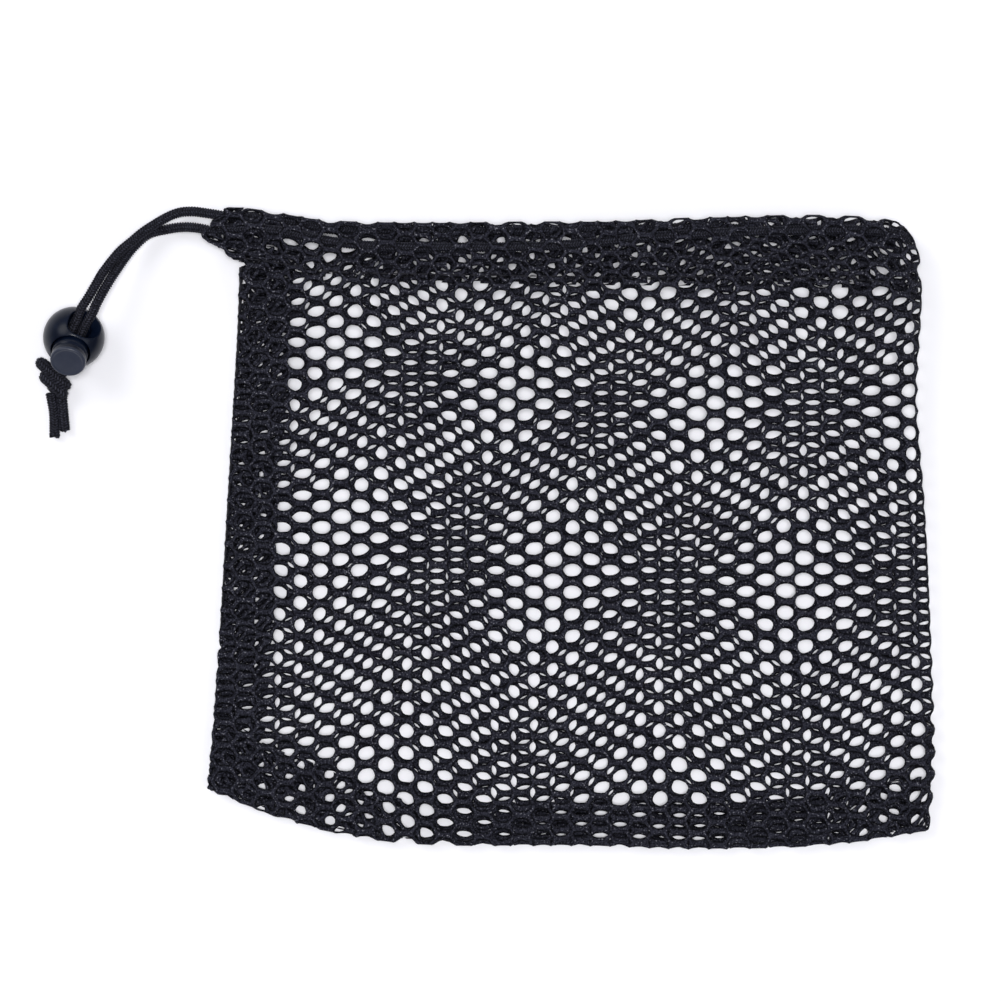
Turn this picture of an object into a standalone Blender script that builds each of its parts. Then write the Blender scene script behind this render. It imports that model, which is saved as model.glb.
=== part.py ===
"""Mesh ball bag: a flat drawstring bag of knitted mesh, with a ball cord lock.

Frame: metres, +X along the bag's width, +Y towards its mouth, +Z up.  The bag lies
on its back panel with the origin under the middle of the bag.  One cloth is folded
round the right side, sewn along the left side and the bottom, and hemmed at the
mouth into a channel that holds one long drawcord.
"""
import math

import bmesh
import bpy
from mathutils import Vector

MM = 0.001

# Cloth and cord
CLOTH = 0.6 * MM                 # thickness of the knitted mesh
GAP = 0.3 * MM                   # clearance kept between neighbouring pieces
CORD_D = 2.7 * MM                # braided drawcord
THREAD_D = 0.4 * MM

# Section of the bag
MOUTH_GAP = 4.3 * MM             # clear height between the two channels
SEAM_Z = 3.7 * MM                # middle of the front cloth at the sewn edges
BELLY_Z = 6.4 * MM               # middle of the front cloth low in the bag
ALLOWANCE = 14.0 * MM            # seam allowance turned inside
SEAM_INSET = 0.5 * MM            # the allowances start this far inside the edge
SEAM_LINE = 1.4 * MM             # the seams' thread runs this far inside the edge
SIDE_SEAM = (0.14, 0.87)         # share of the height with a side seam
BOTTOM_SEAM = (0.02, 0.975)      # share of the width with a bottom seam
HEM_DEPTH = 15.8 * MM            # top edge to the hem's raw edge
HEM_STITCH = 1.6 * MM            # the hem's thread runs this far inside the raw edge
HEM_STITCH_ENDS = (-95 * MM, 93 * MM)
CHANNEL_DROP = 3.6 * MM          # how far the front channel sinks at its open end
RAMP_TOP = 9.4 * MM              # the hem leaves its inner height here, below the top edge
RAMP_LENGTH = 3.8 * MM           # and reaches the outer cloth over this length

# Channel section, measured from the middle height of the mouth outwards
CORD_R = CORD_D / 2
HEM_IN = MOUTH_GAP / 2 + CLOTH / 2
CORD_RHO = HEM_IN + CLOTH / 2 + GAP + CORD_R
CLOTH_RHO = CORD_RHO + CORD_R + GAP + CLOTH / 2
MID_Z = CLOTH_RHO + CLOTH / 2    # the back cloth then rests on z = 0
HEM_BEND = CLOTH_RHO - CORD_RHO

# How deep the cord lies below the top edge: (station, depth) pairs in millimetres
FRONT_LIE = [(-104, 6.85), (-86, 5.4), (-68, 6.4), (-56, 7.3), (-10, 7.3), (12, 5.9), (26, 5.0),
             (60, 4.7), (88, 3.9), (104, 3.9)]
BACK_LIE = [(-104, 2.3), (36, 2.3), (58, 3.9), (104, 3.9)]

# Where the cord leaves the channel
FRONT_END = -103.8 * MM
BACK_END = -101.5 * MM
HEM_START = -101.5 * MM          # left end of the hems
CHANNEL_Y = 80 * MM              # height of the channel at the right fold

# Outline of the bag as it lies: (station, edge) pairs in millimetres
LEFT_EDGE = [(-78, -107.5), (-50, -105), (14, -101), (60, -98.2), (76, -97.6), (82, -103),
             (88, -105), (94.5, -100.5)]
RIGHT_EDGE = [(-89, 105.8), (-68, 107.5), (-21, 105.6), (8.5, 104), (38, 102), (67, 103), (85, 102.4)]
BOTTOM_EDGE = [(-107, -77), (-80, -87), (-50, -92.6), (8.5, -93.6), (38, -94.5), (79, -93), (106, -89)]
TOP_EDGE = [(-104, 94.5), (-98, 94.5), (-86, 93), (-71, 90.6), (-50, 90), (8.5, 90.3), (64, 92),
            (95, 90.4), (103, 86)]

# Ball cord lock
BALL_CENTRE = Vector((-145.7, 56.2, 9)) * MM
BALL_R = 9 * MM
HEADING = math.radians(61)       # cord direction through the ball, seen from above
CLIMB = math.radians(38)         # how steeply the cord climbs through the ball
ROLL = math.radians(14.7)        # the lock is turned this far round the cord
HUMP_R = 20 * MM                 # radius of the hump that the cord makes past the ball
HUMP_LENGTH = 1.12               # radians of the hump on the bag's side of the ball
STRAND_OFFSET = 1.55 * MM        # each strand from the middle of the lock
PLUNGER_R = 5.2 * MM
BORE_R = 5.5 * MM
BORE_FLOOR = -6.2 * MM
POCKET_R = 2.7 * MM
POCKET_FLOOR = -8.0 * MM
BORE_TOP = 4.4 * MM
MOUTH_R = 6.4 * MM
MOUTH_TOP = 6.2 * MM
CUT_PAST = 10.5 * MM             # cutters reach past the ball
PLUNGER_TOP = 12.0 * MM
PLUNGER_FOOT = -3.6 * MM
PLUNGER_DOME = 0.15 * MM
EDGE = 0.7 * MM                  # rounding of the button's rim
SPRING_WIRE = 0.45 * MM
SPRING_R = 1.9 * MM
SPRING_TURNS = 3
# Holes for the two strands: half width, low side and high side
HOLE = (3.6 * MM, -2.5 * MM, 1.9 * MM)
HOLE_MOUTH = (5.8 * MM, -5.0 * MM, 8.4 * MM)
HOLE_THROAT = 4.2 * MM           # the flares start this far from the ball's centre
PLUNGER_HOLE = (3.5 * MM, -2.4 * MM, 4.5 * MM)

# Knot and tails
KNOT_CENTRE = Vector((-152.8, 45.3, 3.75)) * MM
KNOT_SIZE = Vector((5.8, 4.0, 3.65)) * MM
KNOT_TURN = math.radians(-42)
KNOT_WAIST = 0.10                # how much the knot is drawn in between its lobes

# Colours
BLACK_CLOTH = (0.022, 0.022, 0.026)
BLACK_CORD = (0.016, 0.016, 0.018)
BLACK_PLASTIC = (0.030, 0.030, 0.035)
BUTTON_PLASTIC = (0.045, 0.047, 0.055)
SPRING_STEEL = (0.55, 0.55, 0.56)


def clear_scene():
    for item in list(bpy.data.objects):
        bpy.data.objects.remove(item)


def material(name, colour, roughness, metallic=0.0):
    found = bpy.data.materials.get(name)
    if found:
        return found
    made = bpy.data.materials.new(name)
    made.use_nodes = True
    shader = made.node_tree.nodes["Principled BSDF"]
    shader.inputs["Base Color"].default_value = (*colour, 1)
    shader.inputs["Roughness"].default_value = roughness
    shader.inputs["Metallic"].default_value = metallic
    return made


def cloth_material():
    return material("mesh_cloth", BLACK_CLOTH, 0.75)


def cord_material():
    return material("braided_cord", BLACK_CORD, 0.8)


def plastic_material():
    return material("lock_plastic", BLACK_PLASTIC, 0.35)


def button_material():
    return material("button_plastic", BUTTON_PLASTIC, 0.5)


def mix(a, b, t):
    return a + (b - a) * t


def smooth(low, high, value):
    t = min(1.0, max(0.0, (value - low) / (high - low)))
    return t * t * (3 - 2 * t)


def eased(t):
    """Even steps turned into steps that are finer near both ends."""
    return 0.5 - 0.5 * math.cos(math.pi * t)


def through(stations, at):
    """Smooth value at a station, through (station, value) pairs given in millimetres."""
    at = at / MM
    last = len(stations) - 1
    i = 0
    while i < last - 1 and at > stations[i + 1][0]:
        i += 1
    x0, y0 = stations[i]
    x1, y1 = stations[i + 1]
    before = stations[max(i - 1, 0)]
    after = stations[min(i + 2, last)]
    slope0 = (y1 - before[1]) / (x1 - before[0])
    slope1 = (after[1] - y0) / (after[0] - x0)
    span = x1 - x0
    t = min(1.0, max(0.0, (at - x0) / span))
    rise = (2 * t ** 3 - 3 * t ** 2 + 1) * y0 + (3 * t ** 2 - 2 * t ** 3) * y1
    bend = (t ** 3 - 2 * t ** 2 + t) * slope0 + (t ** 3 - t ** 2) * slope1
    return (rise + bend * span) * MM


def left_x(y):
    return through(LEFT_EDGE, y)


def right_x(y):
    return through(RIGHT_EDGE, y)


def bottom_y(x):
    return through(BOTTOM_EDGE, x)


def top_y(x):
    return through(TOP_EDGE, x)


def channel_drop(x):
    """The front channel sinks onto the back one towards its open left end."""
    return CHANNEL_DROP * (1 - smooth(-104 * MM, -45 * MM, x))


def belly_height(x, y):
    """Middle of the front cloth away from the sewn edges."""
    rise = smooth(-60 * MM, 73 * MM, y)
    return mix(BELLY_Z, MID_Z + CLOTH_RHO - channel_drop(x), rise)


def front_z(x, y):
    """Middle of the front cloth: low along the seams, high at the channel."""
    belly = belly_height(x, y)
    seam_top = mix(SEAM_Z, MID_Z + CLOTH_RHO - channel_drop(x), smooth(54 * MM, 73 * MM, y))
    height = mix(seam_top, belly, smooth(0, 22 * MM, x - left_x(y)))
    return mix(SEAM_Z, height, smooth(0, 20 * MM, y - bottom_y(x)))


def fold_radius(y):
    """Middle radius of the cloth where it turns round the right side."""
    return (front_z(right_x(y) - 4 * MM, y) - CLOTH / 2) / 2


def fold_x(y):
    """Axis of the right fold."""
    return right_x(y) - fold_radius(y) - CLOTH / 2


def cloth_top_y(x):
    """The outer cloth ends here and the hem's turn takes over."""
    return top_y(x) - HEM_BEND - CLOTH / 2 - GAP


def solid(name, vertices, faces, finish, flat=False):
    """One closed body from points and faces."""
    data = bpy.data.meshes.new(name)
    data.from_pydata([tuple(v) for v in vertices], [], faces)
    work = bmesh.new()
    work.from_mesh(data)
    bmesh.ops.recalc_face_normals(work, faces=work.faces)
    work.to_mesh(data)
    work.free()
    data.materials.append(finish)
    if not flat:
        data.shade_smooth()
        data.set_sharp_from_angle(angle=math.radians(40))
    made = bpy.data.objects.new(name, data)
    bpy.context.scene.collection.objects.link(made)
    return made


def slab(name, upper, lower, finish):
    """A sheet with thickness, from two grids of points of the same shape."""
    rows, columns = len(upper), len(upper[0])
    layer = rows * columns
    vertices = [p for row in upper for p in row] + [p for row in lower for p in row]
    faces = []
    for i in range(rows - 1):
        for j in range(columns - 1):
            a = i * columns + j
            quad = [a, a + 1, a + columns + 1, a + columns]
            faces.append(quad)
            faces.append([v + layer for v in reversed(quad)])
    rim = list(range(columns))
    rim += [i * columns + columns - 1 for i in range(1, rows)]
    rim += [(rows - 1) * columns + j for j in range(columns - 2, -1, -1)]
    rim += [i * columns for i in range(rows - 2, 0, -1)]
    for a, b in zip(rim, rim[1:] + rim[:1]):
        faces.append([b, a, a + layer, b + layer])
    return solid(name, vertices, faces, finish)


def tube(name, points, diameter, finish, sides=2):
    """A round cord along a list of points, with closed ends."""
    data = bpy.data.curves.new(name, "CURVE")
    data.dimensions = "3D"
    data.bevel_depth = diameter / 2
    data.bevel_resolution = sides
    data.use_fill_caps = True
    data.twist_mode = "MINIMUM"
    line = data.splines.new("POLY")
    line.points.add(len(points) - 1)
    for slot, point in zip(line.points, points):
        slot.co = (*point, 1)
    data.materials.append(finish)
    made = bpy.data.objects.new(name, data)
    bpy.context.scene.collection.objects.link(made)
    return made


def smooth_route(points, step):
    """Points a step apart on a smooth curve through the route's own points."""
    ends = [points[0] * 2 - points[1]] + points + [points[-1] * 2 - points[-2]]
    dense = []
    for a, b, c, d in zip(ends, ends[1:], ends[2:], ends[3:]):
        for k in range(12):
            t = k / 12
            dense.append(0.5 * (2 * b + (c - a) * t + (2 * a - 5 * b + 4 * c - d) * t * t
                                + (3 * b - a - 3 * c + d) * t ** 3))
    dense.append(points[-1])
    length = sum((q - p).length for p, q in zip(dense, dense[1:]))
    count = max(2, round(length / step))
    route, walked, target = [dense[0]], 0.0, length / count
    for p, q in zip(dense, dense[1:]):
        piece = (q - p).length
        while walked + piece >= target and len(route) < count:
            route.append(p.lerp(q, (target - walked) / piece))
            target += length / count
        walked += piece
    route.append(dense[-1])
    return route


# The bag

def panel_point(s, t, right_end):
    """Place on the bag's plan: s from left to right, t from the bottom to the top."""
    x, y = 0.0, 0.0
    for _ in range(12):
        x = mix(left_x(y), right_end(y), s)
        y = mix(bottom_y(x), cloth_top_y(x), t)
    return x, y


def panel_edge(y):
    return fold_x(y) - GAP


def make_back_panel():
    """Flat on the surface that the bag lies on, so it is one plate with the bag's outline."""
    along = [k / 24 for k in range(25)]
    up = [k / 28 for k in range(29)]
    rim = [panel_point(s, 0, panel_edge) for s in along]
    rim += [panel_point(1, t, panel_edge) for t in up[1:]]
    rim += [panel_point(s, 1, panel_edge) for s in reversed(along[:-1])]
    rim += [panel_point(0, t, panel_edge) for t in reversed(up[1:-1])]
    count = len(rim)
    vertices = [(x, y, 0) for x, y in rim] + [(x, y, CLOTH) for x, y in rim]
    faces = [list(range(count - 1, -1, -1)), list(range(count, 2 * count))]
    for a in range(count):
        b = (a + 1) % count
        faces.append([a, b, b + count, a + count])
    return solid("back_panel", vertices, faces, cloth_material(), flat=True)


def make_front_panel():
    upper, lower = [], []
    for i in range(23):
        plan = [panel_point(eased(j / 18), eased(i / 22), panel_edge) for j in range(19)]
        middle = [Vector((x, y, front_z(x, y))) for x, y in plan]
        upper.append([p + Vector((0, 0, CLOTH / 2)) for p in middle])
        lower.append([p - Vector((0, 0, CLOTH / 2)) for p in middle])
    return slab("front_panel", upper, lower, cloth_material())


def make_right_fold():
    """The cloth turns round the right side from the back panel to the front panel."""
    upper, lower = [], []
    for i in range(23):
        y = 0.0
        for _ in range(12):
            x = right_x(y)
            y = mix(bottom_y(x), cloth_top_y(x), i / 22)
        radius, axis = fold_radius(y), fold_x(y)
        rows = ([], [])
        for j in range(8):
            angle = math.radians(-90 + 180 * j / 7)
            for row, rho in zip(rows, (radius + CLOTH / 2, radius - CLOTH / 2)):
                at = Vector((axis + rho * math.cos(angle), y, 0))
                at.z = radius + CLOTH / 2 + rho * math.sin(angle)
                row.append(at)
        upper.append(rows[0])
        lower.append(rows[1])
    return slab("right_fold", upper, lower, cloth_material())


def back_inner_z(_x, _y):
    """Middle of a sewn edge that lies on the back cloth."""
    return 1.5 * CLOTH + GAP


def front_inner_z(x, y):
    """Middle of a sewn edge that lies under the front cloth."""
    return front_z(x, y) - CLOTH - GAP


def seam_allowance(name, edge, inwards, height):
    """The sewn edge of one cloth, turned inside: a strip beside a line of edge points."""
    upper, lower = [], []
    for edge_x, edge_y in edge:
        line = []
        for j in range(4):
            reach = mix(SEAM_INSET, ALLOWANCE, j / 3)
            x, y = edge_x + inwards[0] * reach, edge_y + inwards[1] * reach
            line.append(Vector((x, y, height(x, y))))
        upper.append([p + Vector((0, 0, CLOTH / 2)) for p in line])
        lower.append([p - Vector((0, 0, CLOTH / 2)) for p in line])
    slab(name, upper, lower, cloth_material())


def make_allowances():
    """The raw edges turned inside along the left seam and the bottom seam."""
    side = [panel_point(0, mix(*SIDE_SEAM, i / 18), panel_edge) for i in range(19)]
    bottom = [panel_point(mix(*BOTTOM_SEAM, i / 24), 0, panel_edge) for i in range(25)]
    for which, height in (("back", back_inner_z), ("front", front_inner_z)):
        seam_allowance("side_allowance_" + which, side, (1, 0), height)
        seam_allowance("bottom_allowance_" + which, bottom, (0, 1), height)


def hem_section():
    """Middle line of the hem and its normals, as (y below the top, rho) pairs."""
    bend_y = -HEM_BEND - CLOTH / 2
    section = []
    for k in range(7):
        angle = math.pi * k / 6
        normal = (math.sin(angle), math.cos(angle))
        section.append((bend_y + HEM_BEND * normal[0], CORD_RHO + HEM_BEND * normal[1], normal))
    seat = CLOTH_RHO - CLOTH - GAP
    for k in range(4):
        t = k / 3
        lean = (HEM_IN - seat) / RAMP_LENGTH * 6 * t * (1 - t)
        size = math.hypot(1, lean)
        normal = (lean / size, -1 / size)
        section.append((-RAMP_TOP - RAMP_LENGTH * t, mix(HEM_IN, seat, smooth(0, 1, t)), normal))
    section.append((-HEM_DEPTH, seat, (0, -1)))
    return section


def hem_strip(name, place, stations):
    """Sweep the hem's section; place() maps a station, a depth and a rho to a point."""
    upper, lower = [], []
    for station in stations:
        rows = ([], [])
        for depth, rho, normal in hem_section():
            for row, side in zip(rows, (1, -1)):
                offset = side * CLOTH / 2
                row.append(place(station, depth + offset * normal[0], rho + offset * normal[1]))
        upper.append(rows[0])
        lower.append(rows[1])
    return slab(name, upper, lower, cloth_material())


def on_front(x, depth, rho):
    return Vector((x, top_y(x) + depth, MID_Z + rho - channel_drop(x)))


def on_back(x, depth, rho):
    return Vector((x, top_y(x) + depth, MID_Z - rho))


def on_turn(angle, depth, rho):
    """The channel goes round the right fold: angle -90 at the back, +90 at the front."""
    x, y = 0.0, CHANNEL_Y
    for _ in range(12):
        x = fold_x(y) + rho * math.cos(angle)
        y = top_y(x) + depth
    return Vector((x, y, MID_Z + rho * math.sin(angle)))


def make_hems():
    end = panel_edge(CHANNEL_Y)
    stations = [mix(HEM_START, end, k / 20) for k in range(21)]
    hem_strip("front_hem", on_front, stations)
    hem_strip("back_hem", on_back, stations)
    hem_strip("hem_turn", on_turn, [math.radians(-90 + 180 * k / 10) for k in range(11)])


def channel_route():
    """Along the back channel, round the right fold, and back along the front channel."""
    turn_x = fold_x(CHANNEL_Y)
    back = [mix(BACK_END, turn_x, k / 29) for k in range(29)]
    front = [mix(turn_x, FRONT_END, k / 29) for k in range(1, 30)]
    turn = [math.radians(-90 + 180 * k / 10) for k in range(11)]
    route = [on_back(x, -through(BACK_LIE, x), CORD_RHO) for x in back]
    route += [on_turn(angle, -through(FRONT_LIE, turn_x), CORD_RHO) for angle in turn]
    return route + [on_front(x, -through(FRONT_LIE, x), CORD_RHO) for x in front]


def make_channel_cord():
    return tube("drawcord_in_channel", channel_route(), CORD_D, cord_material())


def between_allowances(x, y):
    """A place in the middle of the gap between the two sewn edges."""
    low = back_inner_z(x, y) + CLOTH / 2
    high = front_inner_z(x, y) - CLOTH / 2
    return Vector((x, y, (low + high) / 2))


def make_stitching():
    depth = HEM_STITCH - HEM_DEPTH
    stations = [mix(*HEM_STITCH_ENDS, k / 22) for k in range(23)]
    above = CLOTH_RHO + CLOTH / 2 + GAP + THREAD_D / 2
    inside = CLOTH_RHO - 1.5 * CLOTH - 2 * GAP - THREAD_D / 2
    threads = {
        "front_channel_stitching": [on_front(x, depth, above) for x in stations],
        "back_channel_stitching": [on_back(x, depth, inside) for x in stations],
        "side_seam_stitching": [],
        "bottom_seam_stitching": [],
    }
    for k in range(19):
        x, y = panel_point(0, mix(SIDE_SEAM[0] + 0.005, SIDE_SEAM[1] - 0.005, k / 18), panel_edge)
        threads["side_seam_stitching"].append(between_allowances(x + SEAM_LINE, y))
        x, y = panel_point(mix(BOTTOM_SEAM[0] + 0.01, BOTTOM_SEAM[1] - 0.005, k / 18), 0, panel_edge)
        threads["bottom_seam_stitching"].append(between_allowances(x, y + SEAM_LINE))
    for name, points in threads.items():
        tube(name, points, THREAD_D, cloth_material(), sides=1)


# The cord lock

def lock_axes(slope=CLIMB):
    """Along the cord, across the two strands, and out of the button."""
    flat = Vector((math.cos(HEADING), math.sin(HEADING), 0))
    along = flat * math.cos(slope) + Vector((0, 0, math.sin(slope)))
    level = Vector((-math.sin(HEADING), math.cos(HEADING), 0))
    upright = along.cross(level)
    across = level * math.cos(ROLL) + upright * math.sin(ROLL)
    return along, across, along.cross(across)


def in_lock(a, b, c):
    along, across, out = lock_axes()
    return BALL_CENTRE + along * a + across * b + out * c


def turned(name, profile, finish, sides=32):
    """A solid turned round the button's axis from (radius, height) pairs."""
    vertices, faces = [], []
    rings = []
    for radius, height in profile:
        if radius < 1e-7:
            rings.append([len(vertices)])
            vertices.append(in_lock(0, 0, height))
            continue
        ring = []
        for k in range(sides):
            angle = 2 * math.pi * k / sides
            ring.append(len(vertices))
            vertices.append(in_lock(radius * math.cos(angle), radius * math.sin(angle), height))
        rings.append(ring)
    for low, high in zip(rings, rings[1:]):
        for k in range(sides):
            n = (k + 1) % sides
            corners = [low[k % len(low)], low[n % len(low)], high[n % len(high)], high[k % len(high)]]
            faces.append(list(dict.fromkeys(corners)))
    return solid(name, vertices, faces, finish)


def loft(name, sections):
    """A cutter through rounded sections: (along, half width, low, high) each."""
    sides = 20
    vertices, faces = [], []
    for along, half, low, high in sections:
        middle, tall = (low + high) / 2, (high - low) / 2
        for k in range(sides):
            angle = 2 * math.pi * k / sides
            c, s = math.cos(angle), math.sin(angle)
            b = half * math.copysign(abs(c) ** 0.65, c)
            h = middle + tall * math.copysign(abs(s) ** 0.65, s)
            vertices.append(in_lock(along, b, h))
    for i in range(len(sections) - 1):
        for k in range(sides):
            n = (k + 1) % sides
            a = i * sides
            faces.append([a + k, a + n, a + sides + n, a + sides + k])
    faces.append(list(range(sides - 1, -1, -1)))
    last = (len(sections) - 1) * sides
    faces.append([last + k for k in range(sides)])
    return cutter(solid(name, vertices, faces, plastic_material()))


def cutter(piece):
    piece.hide_render = True
    piece.display_type = "WIRE"
    return piece


def cut(piece, tool):
    step = piece.modifiers.new(tool.name, "BOOLEAN")
    step.operation = "DIFFERENCE"
    step.solver = "EXACT"
    step.object = tool


def arc(radius, start, end, count):
    angles = [math.radians(mix(start, end, k / count)) for k in range(count + 1)]
    return [(radius * math.cos(a), radius * math.sin(a)) for a in angles]


def make_lock_body():
    """A ball with a stepped bore for the plunger and a flared hole for the two strands."""
    outline = arc(BALL_R, -90, 90, 20)
    outline[0] = (0, -BALL_R)
    outline[-1] = (0, BALL_R)
    ball = turned("lock_body", outline, plastic_material())
    bore = [(0, POCKET_FLOOR), (POCKET_R, POCKET_FLOOR), (POCKET_R, BORE_FLOOR), (BORE_R, BORE_FLOOR),
            (BORE_R, BORE_TOP), (MOUTH_R, MOUTH_TOP), (MOUTH_R, CUT_PAST), (0, CUT_PAST)]
    cut(ball, cutter(turned("lock_bore_cutter", bore, plastic_material())))
    sections = [(-CUT_PAST, *HOLE_MOUTH), (-HOLE_THROAT, *HOLE),
                (HOLE_THROAT, *HOLE), (CUT_PAST, *HOLE_MOUTH)]
    cut(ball, loft("lock_hole_cutter", sections))


def make_plunger():
    """The button: a barrel with a domed end and a cross hole that pinches the strands."""
    r, top, foot = PLUNGER_R, PLUNGER_TOP, PLUNGER_FOOT
    profile = [(0, foot), (r - EDGE / 2, foot), (r, foot + EDGE / 2), (r, top - EDGE),
               (r - EDGE / 3, top - EDGE / 3), (r - EDGE, top), (r / 2, top + 0.8 * PLUNGER_DOME),
               (0, top + PLUNGER_DOME)]
    plunger = turned("lock_plunger", profile, button_material())
    ends = 1.5 * PLUNGER_R
    cut(plunger, loft("plunger_hole_cutter", [(-ends, *PLUNGER_HOLE), (ends, *PLUNGER_HOLE)]))


def make_spring():
    low = POCKET_FLOOR + GAP + SPRING_WIRE / 2
    high = PLUNGER_FOOT - GAP - SPRING_WIRE / 2
    count = SPRING_TURNS * 10
    points = []
    for k in range(count + 1):
        t = k / count
        angle = 2 * math.pi * SPRING_TURNS * t
        points.append(in_lock(SPRING_R * math.cos(angle), SPRING_R * math.sin(angle), mix(low, high, t)))
    steel = material("spring_steel", SPRING_STEEL, 0.3, 1.0)
    tube("lock_spring", points, SPRING_WIRE, steel, sides=1)


# The free cord

def hump_point(travel, side):
    """On the hump that the strands make through the ball; travel is an angle from the ball."""
    flat = Vector((math.cos(HEADING), math.sin(HEADING), 0))
    across = lock_axes(CLIMB - travel)[1]
    reach = HUMP_R * (math.sin(CLIMB) - math.sin(CLIMB - travel))
    height = HUMP_R * (math.cos(CLIMB - travel) - math.cos(CLIMB))
    return BALL_CENTRE + flat * reach + across * side * STRAND_OFFSET + Vector((0, 0, height))


STRAND_BACK = [(-102.0, 92.3, 2.25), (-106.3, 93.0, 1.75), (-112.2, 93.6, 2.3), (-117.5, 92.4, 4.0),
               (-124.8, 87.8, 6.9), (-128.9, 84.3, 8.3), (-132.6, 80.9, 9.7)]
STRAND_FRONT = [(-104.3, 87.1, 7.45), (-108.5, 88.3, 6.2), (-113.5, 88.9, 4.3), (-118.5, 88.4, 3.2),
                (-124.2, 86.9, 3.4), (-128.1, 83.5, 4.6), (-130.9, 79.7, 6.6)]
KNOT_END_BACK = (-151.1, 50.0, 3.3)
KNOT_END_FRONT = (-148.2, 47.8, 3.3)
TAIL_BACK = [(-153.5, 40.3, 1.9), (-153.1, 37.6, 1.4), (-152.6, 33.6, 1.4), (-152.5, 27.4, 1.4)]
TAIL_FRONT = [(-149.9, 40.1, 1.9), (-149.9, 37.6, 1.4), (-149.7, 34.0, 1.4), (-149.1, 29.2, 1.4)]


def strand_route(points, side, end):
    """From the channel over the hump, through the ball and down to the knot."""
    route = [Vector(p) * MM for p in points]
    route += [hump_point(HUMP_LENGTH * k / 7, side) for k in range(7, -1, -1)]
    route += [in_lock(-back, side * STRAND_OFFSET, 0) for back in (4.0 * MM, 7.5 * MM)]
    route.append(Vector(end) * MM)
    return route


def make_free_cord():
    routes = {
        "strand_back": strand_route(STRAND_BACK, 1, KNOT_END_BACK),
        "strand_front": strand_route(STRAND_FRONT, -1, KNOT_END_FRONT),
        "tail_back": [Vector(p) * MM for p in TAIL_BACK],
        "tail_front": [Vector(p) * MM for p in TAIL_FRONT],
    }
    for name, route in routes.items():
        tube(name, smooth_route(route, CORD_D), CORD_D, cord_material())


def make_knot():
    """Both strands tied in one overhand knot: the outer shape of the knot."""
    vertices, faces = [], []
    rings, sides = 8, 18
    for i in range(rings + 1):
        lift = math.pi * (i / rings - 0.5)
        for k in range(sides):
            angle = 2 * math.pi * k / sides
            waist = 1 - KNOT_WAIST * math.cos(2 * angle) ** 2
            spot = Vector((KNOT_SIZE.x * math.cos(lift) * math.cos(angle),
                           KNOT_SIZE.y * math.cos(lift) * math.sin(angle) * waist,
                           KNOT_SIZE.z * math.sin(lift)))
            turn = Vector((spot.x * math.cos(KNOT_TURN) - spot.y * math.sin(KNOT_TURN),
                           spot.x * math.sin(KNOT_TURN) + spot.y * math.cos(KNOT_TURN), spot.z))
            vertices.append(KNOT_CENTRE + turn)
    for i in range(rings):
        for k in range(sides):
            n = (k + 1) % sides
            faces.append([i * sides + k, i * sides + n, (i + 1) * sides + n, (i + 1) * sides + k])
    made = solid("knot", vertices, faces, cord_material())
    work = bmesh.new()
    work.from_mesh(made.data)
    bmesh.ops.remove_doubles(work, verts=work.verts, dist=0.00001)
    work.to_mesh(made.data)
    work.free()


def build():
    clear_scene()
    make_back_panel()
    make_front_panel()
    make_right_fold()
    make_allowances()
    make_hems()
    make_channel_cord()
    make_stitching()
    make_lock_body()
    make_plunger()
    make_spring()
    make_free_cord()
    make_knot()


build()
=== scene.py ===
import math

import bmesh
import bpy
import numpy as np
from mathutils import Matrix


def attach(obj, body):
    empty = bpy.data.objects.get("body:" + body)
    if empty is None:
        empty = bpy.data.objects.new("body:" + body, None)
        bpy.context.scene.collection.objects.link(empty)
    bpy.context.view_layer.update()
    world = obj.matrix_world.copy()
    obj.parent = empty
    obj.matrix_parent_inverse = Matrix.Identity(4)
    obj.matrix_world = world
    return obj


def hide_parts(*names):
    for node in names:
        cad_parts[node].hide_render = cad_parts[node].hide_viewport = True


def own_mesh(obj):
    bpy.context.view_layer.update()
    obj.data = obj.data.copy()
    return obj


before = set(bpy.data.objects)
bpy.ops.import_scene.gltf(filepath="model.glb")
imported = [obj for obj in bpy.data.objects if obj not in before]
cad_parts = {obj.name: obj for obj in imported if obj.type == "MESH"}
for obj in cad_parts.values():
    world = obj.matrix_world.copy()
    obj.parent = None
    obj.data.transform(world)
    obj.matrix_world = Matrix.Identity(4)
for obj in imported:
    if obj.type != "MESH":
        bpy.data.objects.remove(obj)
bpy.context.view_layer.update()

MM = 0.001
ROUNDS = 14                      # of working out places that depend on each other
RNG = np.random.default_rng(11)

# Section of the bag, as in the part
CLOTH = 0.6
GAP = 0.3
MID_Z = 6.65                     # the middle of the channel
CORD_RHO = 4.4                   # the cord's and the outer cloth's distance from it
CLOTH_RHO = 6.35
SEAM_Z = 3.7                     # the front cloth's height along the seams
BELLY_Z = 6.4                    # and in the middle of the bag
BELLY_RISE = (-60, 73)           # it rises to the channel between these two heights on the plan,
SEAM_RISE = (54, 73)             # and between these beside the side seam
SIDE_SLOPE = 22                  # it reaches its full height this far in from the left edge
BOTTOM_SLOPE = 20                # and this far up from the bottom
CHANNEL_DROP = 3.6               # the front channel sinks towards its open end:
DROP_END = (-104, -45)           # in full at the first place, not at all past the second
FOLD_IN = 4                      # the right fold's thickness is measured this far in
ALLOWANCE = 15.5
SIDE_ALLOWANCE = 29.0
HEM_DEPTH = 17.0
HEM_BEND = 1.95
SEAM_BEND = (CLOTH + GAP) / 2
SIDE_BEND = 0.33                 # the side seam's edges are turned twice, and pressed closer
RAMP_TOP = 9.4                   # the hem's inner layer joins the outer cloth below this depth
RAMP_LENGTH = 3.8
SAG = 1.3                        # the outer cloth sinks this much below the cord:
SAG_START = (8.0, 10.5)          # the depths on the channel where it goes in
SAG_END = (10.0, 14.6)           # and comes back out

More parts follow.
